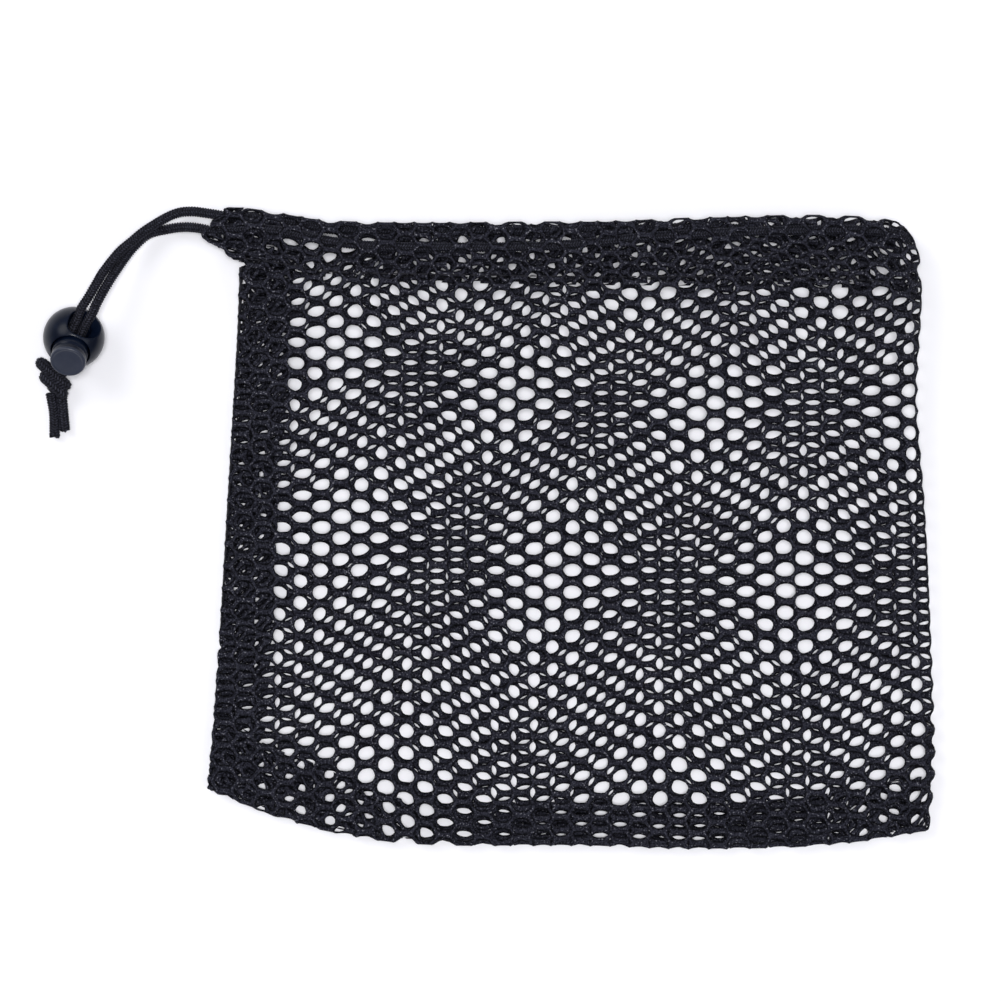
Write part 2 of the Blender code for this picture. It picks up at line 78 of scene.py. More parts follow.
# The outline, as seen from above: (y, x) pairs for the sides, (x, y) pairs for bottom and top
LEFT_EDGE = [(-78, -107.5), (-50, -105), (14, -101), (60, -98.2), (77, -97.5), (79, -98.4),
             (80.5, -101.2), (82.4, -102.4), (84.2, -106.4), (86.2, -108.6), (88.5, -106.2),
             (91.5, -105.0), (94.5, -101)]
RIGHT_EDGE = [(-89, 105.8), (-68, 107.5), (-21, 105.6), (8.5, 104), (38, 102), (67, 103),
              (77, 102.8), (83.5, 101.4), (88, 99.0)]
BOTTOM_EDGE = [(-107, -77), (-80, -87), (-50, -92.6), (8.5, -93.6), (38, -94.5), (79, -93),
               (106, -89)]
TOP_EDGE = [(-104, 94.5), (-98, 94.5), (-86, 93), (-71, 90.6), (-50, 90), (8.5, 90.3), (64, 92),
            (95, 90.4), (103, 86)]
PLAN_LOW = -94                   # the edges' curves are read between these heights
PLAN_HIGH = 92

# The knitted mesh: columns of oval holes, every other column half a step up.
# Place of a hole = sum of these against 1, c, r, cc, cr, rr, ccc, where c is its column
# over COLUMNS and r its half step over STEPS, counted from the middle of the bag.
COLUMNS = 18
STEPS = 26
FRONT_X = (5.45, 100.6, 3.95, 1.0, 2.8, -0.85, 2.1)
FRONT_Y = (-2.8, -4.4, -83.8, 0.3, 0.4, -1.9, 0.0)
BACK_X = (1.25, 102.5, -4.45, -0.8, 1.4, 1.15, 2.2)
BACK_Y = (0.7, 5.3, -82.2, 0.45, -1.2, -2.6, 0.0)
WRAP_COLUMNS = 36                # a front column and its back column add up to this
WRAP_STEPS = 4                   # and the back's steps are this much further
HOLE_WIDE = 5.7
HOLE_TALL = 4.4
COLUMN_PITCH = 5.6
STEP_PITCH = 3.2
HOLE_POWER = 2.1                 # 2 is an ellipse; more is squarer
HOLE_UNEVEN = 0.035              # how much the holes differ in size,
RIM_UNEVEN = 0.02                # how uneven their rims are,
HOLE_SHIFT = 0.02                # and how far a hole is off its place, in columns or steps
CHANNEL_TIGHT = 1.3              # the knit is drawn down this much at the channel
TIGHT_RISE = (70, 88)            # this starts and is full at these heights


def mix(a, b, t):
    return a + (b - a) * t


def smooth(low, high, value):
    t = np.clip((value - low) / (high - low), 0, 1)
    return t * t * (3 - 2 * t)


def through(stations, at):
    """Smooth values at many places, through (station, value) pairs."""
    xs, ys = np.array(stations, float).T
    ahead = np.minimum(np.arange(len(xs)) + 1, len(xs) - 1)
    behind = np.maximum(np.arange(len(xs)) - 1, 0)
    slopes = (ys[ahead] - ys[behind]) / (xs[ahead] - xs[behind])
    i = np.clip(np.searchsorted(xs, at) - 1, 0, len(xs) - 2)
    span = xs[i + 1] - xs[i]
    t = np.clip((at - xs[i]) / span, 0, 1)
    rise = (2 * t ** 3 - 3 * t ** 2 + 1) * ys[i] + (3 * t ** 2 - 2 * t ** 3) * ys[i + 1]
    bend = (t ** 3 - 2 * t ** 2 + t) * slopes[i] + (t ** 3 - t ** 2) * slopes[i + 1]
    return rise + bend * span


def left_x(y):
    return through(LEFT_EDGE, y)


def right_x(y):
    return through(RIGHT_EDGE, y)


def bottom_y(x):
    return through(BOTTOM_EDGE, x)


def top_y(x):
    return through(TOP_EDGE, x)


def on_plan(v):
    return np.clip(v, PLAN_LOW, PLAN_HIGH)


def channel_drop(x):
    return CHANNEL_DROP * (1 - smooth(*DROP_END, x))


def front_z(x, y):
    """Middle of the front cloth: low along the seams, high at the channel."""
    channel = MID_Z + CLOTH_RHO - channel_drop(x)
    belly = mix(BELLY_Z, channel, smooth(*BELLY_RISE, y))
    seam_top = mix(SEAM_Z, channel, smooth(*SEAM_RISE, y))
    height = mix(seam_top, belly, smooth(0, SIDE_SLOPE, x - left_x(y)))
    return mix(SEAM_Z, height, smooth(0, BOTTOM_SLOPE, y - bottom_y(x)))


def fold_radius(y):
    return (front_z(right_x(y) - FOLD_IN, y) - CLOTH / 2) / 2


def fold_x(y):
    return right_x(y) - fold_radius(y) - CLOTH / 2


# Meshes

def make_mesh(name, points, faces, finish, shade_crest=None):
    """A smooth-shaded object from points in millimetres; the crest values, if given, are 1 on high
    places and 0 in dips, and its finish paints shade where they are low.
    """
    data = bpy.data.meshes.new(name)
    data.from_pydata((np.asarray(points) * MM).tolist(), [], faces)
    if shade_crest is not None:
        values = data.attributes.new("shade_crest", "FLOAT", "POINT").data
        values.foreach_set("value", np.asarray(shade_crest, np.float32))
    data.materials.append(finish)
    data.shade_smooth()
    made = bpy.data.objects.new(name, data)
    bpy.context.scene.collection.objects.link(made)
    return made


def settle(piece, body, node):
    """The piece rides on a body and stands for a CAD node."""
    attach(piece, body)
    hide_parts(node)


# Materials

def new_material(name, colour, roughness, **sockets):
    made = bpy.data.materials.new(name)
    made.use_nodes = True
    shader = made.node_tree.nodes["Principled BSDF"]
    shader.inputs["Base Color"].default_value = (*colour, 1)
    shader.inputs["Roughness"].default_value = roughness
    for socket, value in sockets.items():
        shader.inputs[socket.replace("_", " ")].default_value = value
    return made, made.node_tree, shader


def add_node(tree, kind, **values):
    """A shader node; each value sets the input of its name, or else the node's own property."""
    node = tree.nodes.new(kind)
    for key, value in values.items():
        if key in node.inputs:
            node.inputs[key].default_value = value
        else:
            setattr(node, key, value)
    return node


def mottled(tree, shader, dark, light, scale, detail=4.0, shade=None):
    """Colour that varies between two tones in small patches; shade names the mesh's own
    values that darken it, how light it is where they are 0, and from what value it is full.
    Gives the texture's place node and the ramp of tones."""
    place = add_node(tree, "ShaderNodeTexCoord")
    noise = add_node(tree, "ShaderNodeTexNoise", Scale=scale, Detail=detail)
    ramp = add_node(tree, "ShaderNodeValToRGB")
    for tone, at, colour in zip(ramp.color_ramp.elements, (0.35, 0.65), (dark, light)):
        tone.position = at
        tone.color = (*colour, 1)
    tree.links.new(place.outputs["Object"], noise.inputs["Vector"])
    tree.links.new(noise.outputs["Fac"], ramp.inputs["Fac"])
    colour = ramp.outputs["Color"]
    # painted shade: the colour is darkened where the mesh's values are low, in its dips
    if shade:
        attribute, low, full = shade
        height = add_node(tree, "ShaderNodeAttribute", attribute_name=attribute)
        spread = add_node(tree, "ShaderNodeMapRange")
        spread.inputs["To Min"].default_value = low
        spread.inputs["From Max"].default_value = full
        darker = add_node(tree, "ShaderNodeMix", data_type="RGBA", blend_type="MULTIPLY")
        darker.inputs["Factor"].default_value = 1
        tree.links.new(height.outputs["Fac"], spread.inputs["Value"])
        tree.links.new(colour, darker.inputs["A"])
        tree.links.new(spread.outputs["Result"], darker.inputs["B"])
        colour = darker.outputs["Result"]
    tree.links.new(colour, shader.inputs["Base Color"])
    return place, ramp.color_ramp


def bumped(tree, shader, place, scale, distance, strength, kind="ShaderNodeTexNoise"):
    """Fine relief on the surface; distance is its depth in metres."""
    texture = add_node(tree, kind, Scale=scale)
    bump = add_node(tree, "ShaderNodeBump", Strength=strength, Distance=distance)
    height = "Distance" if kind == "ShaderNodeTexVoronoi" else "Fac"
    tree.links.new(place.outputs["Object"], texture.inputs["Vector"])
    tree.links.new(texture.outputs[height], bump.inputs["Height"])
    tree.links.new(bump.outputs["Normal"], shader.inputs["Normal"])


def cloth_finish():
    """Black polyester knit: tiny loops of yarn with a faint sheen; some light specks are painted in
    as glints, and shade is painted on the webs towards the holes' rims.
    """
    made, tree, shader = new_material("black_mesh_knit", (0.01, 0.01, 0.012), 0.7,
                                      Sheen_Weight=0.006, Specular_IOR_Level=0.03)
    # painted shade: the webs are darker towards the holes' rims, where the crest values fall
    place, tones = mottled(tree, shader, (0.002, 0.002, 0.004), (0.034, 0.035, 0.050), 2000, 3.0,
                           ("shade_crest", 0.3, 0.5))
    # painted highlights: a few light specks in the colour stand for glints of the yarn
    tones.elements.new(0.70).color = (0.24, 0.24, 0.27, 1)
    bumped(tree, shader, place, 2600, 0.0002, 0.8, "ShaderNodeTexVoronoi")
    return made


def cord_finish():
    made, tree, shader = new_material("black_braid", (0.015, 0.015, 0.02), 0.62,
                                      Sheen_Weight=0.01, Specular_IOR_Level=0.06)
    # painted shade: the braid is darker in the dips between its stitches, where the crest values fall
    place, _ = mottled(tree, shader, (0.010, 0.010, 0.016), (0.054, 0.056, 0.080), 1800, 3.0,
                       ("shade_crest", 0.04, 1.0))
    bumped(tree, shader, place, 6000, 0.00006, 0.6)
    return made


def thread_finish():
    made, tree, shader = new_material("black_thread", (0.014, 0.014, 0.018), 0.5,
                                      Specular_IOR_Level=0.1)
    place, _ = mottled(tree, shader, (0.006, 0.006, 0.009), (0.020, 0.020, 0.026), 2500)
    bumped(tree, shader, place, 9000, 0.00003, 0.5)
    return made


def plastic_finish(name, dark, light, roughness, gloss):
    made, tree, shader = new_material(name, light, roughness, Specular_IOR_Level=gloss)
    place, _ = mottled(tree, shader, dark, light, 260, 2.0)
    bumped(tree, shader, place, 3500, 0.00001, 0.35)
    return made


def steel_finish():
    made, tree, shader = new_material("spring_wire", (0.5, 0.5, 0.51), 0.28, Metallic=1.0)
    place, _ = mottled(tree, shader, (0.42, 0.42, 0.43), (0.58, 0.58, 0.6), 900)
    bumped(tree, shader, place, 8000, 0.00002, 0.3)
    return made


CLOTH_FINISH = cloth_finish()
CORD_FINISH = cord_finish()
THREAD_FINISH = thread_finish()
BALL_FINISH = plastic_finish("black_ball_plastic", (0.001, 0.003, 0.010), (0.003, 0.006, 0.016),
                             0.3, 0.17)
BUTTON_FINISH = plastic_finish("black_button_plastic", (0.011, 0.016, 0.034),
                               (0.016, 0.021, 0.040), 0.42, 0.5)
STEEL_FINISH = steel_finish()


# Camera, floor and light

CAMERA_HEIGHT = 1100
VIEW_CENTRE = (-20.7, 8.4)
VIEW_WIDTH = 294.4               # what the picture takes in, at the height of the bag's front
VIEW_HEIGHT = 5
SENSOR = 36
FLOOR_HALF = 3.0                 # in metres, as are the lights
FLOOR_DROP = 0.0002
# Lights: place, size and power
LIGHTS = {
    "key_overhead": ((-0.02, 0.01, 1.5), 0.4, 16.5),
    "soft_upper_left": ((-0.9, 0.7, 1.0), 0.9, 7.6),
    "soft_right": ((0.9, -0.3, 0.9), 0.8, 3),
}
WORLD_LIGHT = 0.28


def make_camera():
    data = bpy.data.cameras.new("camera")
    data.sensor_width = SENSOR
    data.lens = SENSOR * (CAMERA_HEIGHT - VIEW_HEIGHT) / VIEW_WIDTH
    made = bpy.data.objects.new("camera", data)
    made.location = (VIEW_CENTRE[0] * MM, VIEW_CENTRE[1] * MM, CAMERA_HEIGHT * MM)
    bpy.context.scene.collection.objects.link(made)
    bpy.context.scene.camera = made


def area_light(name, place, size, power):
    data = bpy.data.lights.new(name, "AREA")
    data.shape = "DISK"
    data.size = size
    data.energy = power
    made = bpy.data.objects.new(name, data)
    made.location = place
    made.rotation_euler = made.location.normalized().to_track_quat("Z", "Y").to_euler()
    bpy.context.scene.collection.objects.link(made)


def make_studio():
    data = bpy.data.meshes.new("floor")
    corners = [(-1, -1), (1, -1), (1, 1), (-1, 1)]
    data.from_pydata([(FLOOR_HALF * x, FLOOR_HALF * y, 0) for x, y in corners], [], [range(4)])
    data.materials.append(new_material("pale_floor", (0.84, 0.84, 0.885), 0.9)[0])
    floor = bpy.data.objects.new("floor", data)
    floor.location.z = -FLOOR_DROP
    bpy.context.scene.collection.objects.link(floor)
    for name, (place, size, power) in LIGHTS.items():
        area_light(name, place, size, power)
    world = bpy.data.worlds.new("studio")
    world.use_nodes = True
    world.node_tree.nodes["Background"].inputs["Color"].default_value = (1, 1, 1, 1)
    world.node_tree.nodes["Background"].inputs["Strength"].default_value = WORLD_LIGHT
    bpy.context.scene.world = world
    bpy.context.scene.view_settings.view_transform = "Standard"


# Cords

CURVE_PARTS = 24                 # of every stretch between two of a route's own points


def walked_along(route):
    """How far along the route each of its points is."""
    return np.concatenate([[0], np.cumsum(np.linalg.norm(np.diff(route, axis=0), axis=1))])


def places_at(route, walked, at):
    return np.stack([np.interp(at, walked, route[:, k]) for k in range(3)], 1)


def smooth_route(points, step):
    """Points a step apart on a smooth curve through the route's own points."""
    points = np.asarray(points, float)
    ends = np.vstack([points[0] * 2 - points[1], points, points[-1] * 2 - points[-2]])
    t = np.linspace(0, 1, CURVE_PARTS, endpoint=False)[:, None]
    dense = []
    for a, b, c, d in zip(ends, ends[1:], ends[2:], ends[3:]):
        dense.append(0.5 * (2 * b + (c - a) * t + (2 * a - 5 * b + 4 * c - d) * t ** 2
                            + (3 * b - a - 3 * c + d) * t ** 3))
    dense = np.vstack(dense + [points[-1:]])
    walked = walked_along(dense)
    count = max(2, round(walked[-1] / step)) + 1
    return places_at(dense, walked, np.linspace(0, walked[-1], count))


def along_frames(route):
    """Two directions across the route at each point, turning as little as possible."""
    forward = np.gradient(route, axis=0)
    forward /= np.linalg.norm(forward, axis=1)[:, None]
    side = np.cross(forward[0], (0.1, 0.2, 1.0))
    sides = []
    for f in forward:
        side = side - f * side.dot(f)
        side = side / np.linalg.norm(side)
        sides.append(side)
    sides = np.array(sides)
    return sides, np.cross(forward, sides)


def circle(sides):
    return 2 * np.pi * np.arange(sides) / sides


def rings_round(route, reach, angle, tall=1.0):
    """Rings of points round a route: how far out each is, at what angle; tall stretches them."""
    sides, ups = along_frames(route)
    return (route[:, None, :] + sides[:, None, :] * (reach * np.cos(angle))[..., None]
            + ups[:, None, :] * (tall * reach * np.sin(angle))[..., None])


def tube_faces(rings, sides, base=0):
    """Faces between rings of points that follow each other from point number base on."""
    first = np.arange(rings - 1)[:, None] * sides + base
    k = np.arange(sides)
    n = (k + 1) % sides
    quads = np.stack([first + k, first + n, first + sides + n, first + sides + k], -1)
    return quads.reshape(-1, 4).tolist()


def closed_tube_faces(rings, sides, base=0):
    last = base + (rings - 1) * sides
    ends = [list(range(base + sides - 1, base - 1, -1)), list(range(last, last + sides))]
    return tube_faces(rings, sides, base) + ends


BRAID_RIBS = 8
BRAID_PITCH = 0.78
BRAID_DEPTH = 0.4
BRAID_SLANT = 0.9                # of a stitch, from one edge of a rib to the other
BRAID_LAG = 0.13                 # every rib's stitches start this much later
BRAID_TAPER = 0.7                # how much lower a stitch is at its rib's edges
BRAID_SIDES = 32
BRAID_STEP = BRAID_PITCH / 6
BRAID_R = 1.52                   # over the crests of its stitches
BRAID_END = 0.8                  # the first and last rings are drawn in to this share
FRAY_RINGS = 9
FRAY_REACH = (-0.9, 0.7)         # how far before and past the cut the yarns stop


def braid_surface(route, radius):
    """Rings of points round a braided cord: ribs of slanting stitches, herringbone fashion."""
    turn = np.arange(BRAID_SIDES) / BRAID_SIDES
    rib = turn * BRAID_RIBS
    across = rib % 1 - 0.5
    slant = np.where(np.floor(rib) % 2 == 0, BRAID_SLANT, -BRAID_SLANT)
    stitch = walked_along(route)[:, None] / BRAID_PITCH + across * slant + BRAID_LAG * np.floor(rib)
    swell = (0.5 - 0.5 * np.cos(2 * np.pi * stitch)) * (1 - (2 * np.abs(across)) ** 3 * BRAID_TAPER)
    reach = radius - BRAID_DEPTH * (1 - swell)
    return rings_round(route, reach, 2 * np.pi * turn), swell


def frayed(rings, route):
    """The cut end is uneven: its yarns stop at different places."""
    grown = np.linspace(0, 1, FRAY_RINGS)[:, None, None] ** 2
    ends = np.repeat(RNG.uniform(*FRAY_REACH, BRAID_SIDES // 2), 2)[None, :, None]
    onward = (route[-1] - route[-2]) / np.linalg.norm(route[-1] - route[-2])
    rings[-FRAY_RINGS:] += grown * ends * onward


def braided_cord(name, routes, radius=BRAID_R, cut=False):
    """One piece of braided cord, or several lying together; cut leaves the far end frayed."""
    points, faces, shade_crest, base = [], [], [], 0
    for route in routes:
        rings, swell = braid_surface(route, radius)
        count = len(rings)
        if cut:
            frayed(rings, route)
        rings[0] = mix(route[0], rings[0], BRAID_END)
        rings[-1] = mix(route[-1], rings[-1], BRAID_END)
        points += [rings.reshape(-1, 3), route[:1], route[-1:]]
        # the stitches' swell also sets the painted shade; the end caps get 0 and are painted dark
        shade_crest += [swell.ravel(), (0, 0)]
        faces += tube_faces(count, BRAID_SIDES, base)
        last = base + (count - 1) * BRAID_SIDES
        hub = base + count * BRAID_SIDES
        for k in range(BRAID_SIDES):
            n = (k + 1) % BRAID_SIDES
            faces.append([hub, base + n, base + k])
            faces.append([hub + 1, last + k, last + n])
        base = hub + 2
    return make_mesh(name, np.vstack(points), faces, CORD_FINISH, np.concatenate(shade_crest))


BALL_CENTRE = np.array([-145.7, 56.2, 9.0])
HEADING = math.radians(61)       # cord direction through the ball, seen from above
CLIMB = math.radians(38)         # how steeply the cord climbs through the ball
ROLL = math.radians(14.7)        # the lock is turned this far round the cord
HUMP_R = 20.0                    # the strands climb through the ball and over a round hump,
HUMP_LENGTH = 1.12               # which is this long, in radians
HUMP_POINTS = 8
STRAND_OFFSET = 1.55             # each strand from the middle of the ball
STRAND_TOUCH = 1.46              # on the hump the strands lie against each other,
STRAND_SLIT = 0.28               # but for a short slit just above the ball:
SLIT_MIDDLE = 0.48               # where on the hump, and half its length, in radians
SLIT_HALF = 0.2
BEHIND_BALL = (4.0, 7.5)         # the strands' points on their straight way out of the ball
STRAND_BACK = [(-102.0, 92.3, 2.25), (-106.3, 93.0, 1.75), (-112.2, 93.6, 2.3), (-117.5, 92.4, 4.0),
               (-124.8, 87.8, 6.9), (-128.9, 84.3, 8.3), (-132.6, 80.9, 9.7)]
STRAND_FRONT = [(-104.3, 87.1, 7.45), (-108.5, 88.3, 6.2), (-113.5, 88.9, 4.3), (-118.5, 88.4, 3.2),
                (-124.2, 86.9, 3.4), (-128.1, 83.5, 4.6), (-130.9, 79.7, 6.6)]
KNOT_END_BACK = (-151.1, 50.0, 3.3)
KNOT_END_FRONT = (-148.2, 47.8, 3.3)
# The knot's two turns: middle, half length, half height, and drift to the side
KNOT_UPPER = ((-152.4, 45.5, 4.15), 4.9, 2.4, (0.9, -0.6))
KNOT_LOWER = ((-151.9, 42.8, 4.05), 3.6, 2.3, (0.1, -1.2))
KNOT_LIE = math.radians(-37)     # the turns' length, seen from above
KNOT_START = 250                 # degrees round a turn, 90 on top
KNOT_END = -80
KNOT_POINTS = 9
KNOT_CORD_R = 1.75               # the cord bulges where it is tied,
TAIL_R = 1.7                     # and loosens towards its cut ends
TAIL_BACK = [(-153.4, 40.3, 1.9), (-152.9, 37.6, 1.7), (-152.3, 33.6, 1.7), (-152.2, 27.2, 1.7)]
TAIL_FRONT = [(-150.1, 40.1, 1.9), (-150.0, 37.6, 1.7), (-149.7, 34.0, 1.7), (-149.2, 29.0, 1.7)]

FLAT = np.array([math.cos(HEADING), math.sin(HEADING), 0])


def lock_axes(slope=CLIMB):
    """Along the cord, across the two strands, and out of the button."""
    along = FLAT * math.cos(slope) + np.array([0, 0, math.sin(slope)])
    level = np.array([-math.sin(HEADING), math.cos(HEADING), 0])
    across = level * math.cos(ROLL) + np.cross(along, level) * math.sin(ROLL)
    return along, across, np.cross(along, across)


def in_lock(a, b, c):
    """Places in the lock's own axes to points on the bag."""
    return BALL_CENTRE + np.stack(np.broadcast_arrays(a, b, c), -1) @ np.array(lock_axes())


def strand_route(points, side, end):
    """From the channel over the hump, through the ball and down to the knot."""
    route = [np.array(p) for p in points]
    for travel in np.linspace(HUMP_LENGTH, 0, HUMP_POINTS):
        reach = HUMP_R * (math.sin(CLIMB) - math.sin(CLIMB - travel))
        height = HUMP_R * (math.cos(CLIMB - travel) - math.cos(CLIMB))
        across = lock_axes(CLIMB - travel)[1]
        apart = STRAND_TOUCH + STRAND_SLIT * max(0, 1 - abs(travel - SLIT_MIDDLE) / SLIT_HALF)
        route.append(BALL_CENTRE + FLAT * reach + across * side * apart
                     + np.array([0, 0, height]))
    route += [in_lock(-back, side * STRAND_OFFSET, 0) for back in BEHIND_BALL]
    return route + [np.array(end)]


def knot_turn(middle, half_long, half_high, drift):
    """Part of a turn round the knot's core, as points."""
    band = np.array([math.cos(KNOT_LIE), math.sin(KNOT_LIE), 0])
    beside = np.array([-math.sin(KNOT_LIE), math.cos(KNOT_LIE), 0])
    points = []
    for share in np.linspace(0, 1, KNOT_POINTS):
        angle = math.radians(mix(KNOT_START, KNOT_END, share))
        points.append(np.array(middle) + band * half_long * math.cos(angle)
                      + beside * mix(*drift, share)
                      + np.array([0, 0, half_high * math.sin(angle)]))
    return points


def make_knot():
    turns = [[KNOT_END_BACK] + knot_turn(*KNOT_UPPER) + [TAIL_FRONT[0]],
             [KNOT_END_FRONT] + knot_turn(*KNOT_LOWER) + [TAIL_BACK[0]]]
    routes = [smooth_route(points, BRAID_STEP) for points in turns]
    knot = braided_cord("overhand_knot", routes, KNOT_CORD_R)
    settle(knot, "bag", "knot")
    return knot


def make_tail(name, points):
    tail = braided_cord(name + "_cut_end", [smooth_route(points, BRAID_STEP)], TAIL_R, True)
    settle(tail, "bag", name)
    return tail


def make_strand(name, points):
    """A free strand."""
    route = smooth_route(points, BRAID_STEP)
    piece = braided_cord(name + "_braid", [route])
    settle(piece, "bag", name)


def make_cords():
    knot = make_knot()
    tail_back = make_tail("tail_back", TAIL_BACK)
    tail_front = make_tail("tail_front", TAIL_FRONT)
    make_strand("strand_back", strand_route(STRAND_BACK, 1, KNOT_END_BACK))
    make_strand("strand_front", strand_route(STRAND_FRONT, -1, KNOT_END_FRONT))


FRONT_END = -103.8
BACK_END = -101.5
CHANNEL_Y = 80
CHANNEL_POINTS = 30              # along each channel
TURN_POINTS = 11                 # and round the right fold
CHANNEL_STEP = 1.2 * BRAID_STEP
# How deep the cord lies below the top edge: (x, depth) pairs
FRONT_LIE = [(-104, 6.85), (-86, 5.4), (-68, 6.4), (-56, 7.3), (-10, 7.3), (12, 5.9), (26, 5.0),
             (60, 4.7), (88, 3.9), (104, 3.9)]
BACK_LIE = [(-104, 2.3), (36, 2.3), (58, 3.9), (104, 3.9)]


def channel_route():
    """Along the back channel, round the right fold, and back along the front channel."""
    turn_x = fold_x(CHANNEL_Y)
    route = []
    for x in np.linspace(BACK_END, turn_x, CHANNEL_POINTS)[:-1]:
        route.append((x, top_y(x) - through(BACK_LIE, x), MID_Z - CORD_RHO))
    for angle in np.radians(np.linspace(-90, 90, TURN_POINTS)):
        x, y = 0.0, CHANNEL_Y
        for _ in range(ROUNDS):
            x = fold_x(y) + CORD_RHO * math.cos(angle)
            y = top_y(x) - through(FRONT_LIE, turn_x)
        route.append((x, y, MID_Z + CORD_RHO * math.sin(angle)))
    for x in np.linspace(turn_x, FRONT_END, CHANNEL_POINTS)[1:]:
        route.append((x, top_y(x) - through(FRONT_LIE, x), MID_Z + CORD_RHO - channel_drop(x)))
    return np.array(route, float)


def make_channel_cord():
    route = smooth_route(channel_route(), CHANNEL_STEP)
    piece = braided_cord("drawcord_in_channel_braid", [route])
    settle(piece, "bag", "drawcord_in_channel")


# The knitted mesh

# The sheet: the cloth laid out straight, across from the front's left seam round the right
# fold to the back's left seam, and up from the bottom seam to the channel's bend.
SHEET_WIDE = 424.0
SHEET_TALL = 180.0
SEWN_TOP = 172.0                 # the side seam ends here, up the sheet
# How deep the bottom's turned-in edge is: wider towards both corners, as (x, depth) pairs
BOTTOM_TURN = [(-107, 25.0), (-85, 22.0), (-63, 17.0), (-50, 14.0), (40, 14.0), (71, 15.3),
               (95, 17.3), (106, 17.3)]
SEAM_MARGIN = 3.0                # its first stretch, which is the same all along
# How deep the hem hangs: deeper towards the right, as (x, depth) pairs
HEM_EDGE = [(-104, 16.5), (-50, 17.0), (20, 18.5), (60, 20.0), (104, 20.5)]
HEM_MARGIN = 5                   # its first stretch past the bend, which is the same all along
HEM_START = SHEET_TALL + math.pi * HEM_BEND + HEM_MARGIN
HEM_END = SHEET_TALL + math.pi * HEM_BEND + HEM_DEPTH - HEM_BEND - CLOTH / 2
PUCKER = 2.8                     # near both lower corners the turned-in edge has slid along,
PUCKER_RISE = 3                  # in full from this deep on
PUCKER_LEFT = (-75, -15)         # across the unrolled cloth, this fades out here,
PUCKER_RIGHT = (70, 85)          # comes back here,
PUCKER_BACK = (125, 140)         # and fades out again on the back
NO_MORE = 1e6                    # farther than the cloth reaches


def lattice(values, c, r):
    """A hole's place across or up, from its column and its half step."""
    c, r = c / COLUMNS, r / STEPS
    terms = (1, c, r, c * c, c * r, r * r, c ** 3)
    return sum(value * term for value, term in zip(values, terms))


def flat_place(c, r):
    """Where a place on the knit's own grid comes on the cloth, unrolled from the front panel."""
    u, v = lattice(FRONT_X, c, r), lattice(FRONT_Y, c, r)
    back = (WRAP_COLUMNS - c, r + WRAP_STEPS)
    x, y = lattice(BACK_X, *back), lattice(BACK_Y, *back)
    beyond = 2 * fold_x(y) + math.pi * fold_radius(y) - x
    share = smooth(0, math.pi * fold_radius(v), u - fold_x(v))
    v = mix(v, y, share)
    return mix(u, beyond, share), v - CHANNEL_TIGHT * smooth(*TIGHT_RISE, v)


def tucked(past, radius, again=NO_MORE):
    """A cloth that turns back at an edge: how far it reaches past the axis, and how deep.
    After a further stretch it turns once more, under itself."""
    angle = np.clip(past / radius, 0, math.pi)
    second = np.clip((past - again) / radius, 0, math.pi)
    bend = math.pi * radius
    reach = radius * (np.sin(angle) - np.sin(second)) - np.clip(past - bend, 0, again - bend)
    reach = reach + np.maximum(past - again - bend, 0)
    depth = radius * (2 - np.cos(angle) - np.cos(second))
    return np.where(past > 0, reach, past), np.where(past > 0, depth, 0)


def unrolled_x(u, y):
    """Plan place of a flat place: the front, the fold's outermost line, or the back."""
    past = u - fold_x(y)
    radius = fold_radius(y)
    around = radius * np.sin(np.clip(past / radius, 0, math.pi))
    return np.where(past < 0, u, fold_x(y) + around - np.maximum(past - math.pi * radius, 0))


def hem_depth(depth, inward):
    """The hem's inner layer comes up to the outer cloth at the channel's lower edge."""
    seated = mix(inward, CLOTH + GAP, smooth(RAMP_TOP, RAMP_TOP + RAMP_LENGTH, depth))
    return np.where(inward > HEM_BEND, seated, inward)


def sag(depth):
    """The outer cloth sinks between the cord and the hem's stitching."""
    return SAG * smooth(*SAG_START, depth) * (1 - smooth(*SAG_END, depth))


def top_axis(x):
    return top_y(x) - HEM_BEND - CLOTH / 2


def low_axis(x):
    return bottom_y(x) + SEAM_BEND + CLOTH / 2


def side_axis(y):
    return left_x(y) + SIDE_BEND + CLOTH / 2


def lay_up(x, v):
    """Height on the plan, and depth below the outer cloth past the top's bend or the bottom."""
    past, inward = tucked(v - top_axis(x), HEM_BEND)
    y = top_axis(x) + past
    depth = top_y(x) - y
    inward = np.where(inward == 0, sag(depth), hem_depth(depth, inward))
    past, tuck = tucked(low_axis(x) - y, SEAM_BEND)
    return low_axis(x) - past, inward + tuck


def lay(u, v):
    """Flat places to points on the bag."""
    x = unrolled_x(u, on_plan(v))
    y, inward = lay_up(x, v)
    past, tuck = tucked(side_axis(y) - x, SIDE_BEND, ALLOWANCE)
    x, inward = side_axis(y) - past, inward + tuck
    axis, radius = fold_x(y), fold_radius(y)
    arc = np.clip((u - axis) / radius, 0, math.pi)
    turn_x = axis + (radius - inward) * np.sin(arc)
    turn_z = radius + CLOTH / 2 + (radius - inward) * np.cos(arc)
    turning = (u > axis) & (u < axis + math.pi * radius)
    z = np.where(u <= axis, front_z(x, y) - inward, CLOTH / 2 + inward)
    return np.stack([np.where(turning, turn_x, x), y, np.where(turning, turn_z, z)], -1)


def lay_offset(u, v, height):
    """Points on the bag, lifted off the middle of the cloth."""
    near = 0.04
    along = lay(u + near, v) - lay(u - near, v)
    up = lay(u, v + near) - lay(u, v - near)
    normal = np.cross(along, up)
    normal /= np.maximum(np.linalg.norm(normal, axis=-1), 1e-9)[..., None]
    return lay(u, v) + normal * height[..., None]


def girth(y):
    """From the front's left seam round the right fold to the back's left seam."""
    return 2 * (fold_x(y) - side_axis(y)) + math.pi * fold_radius(y)


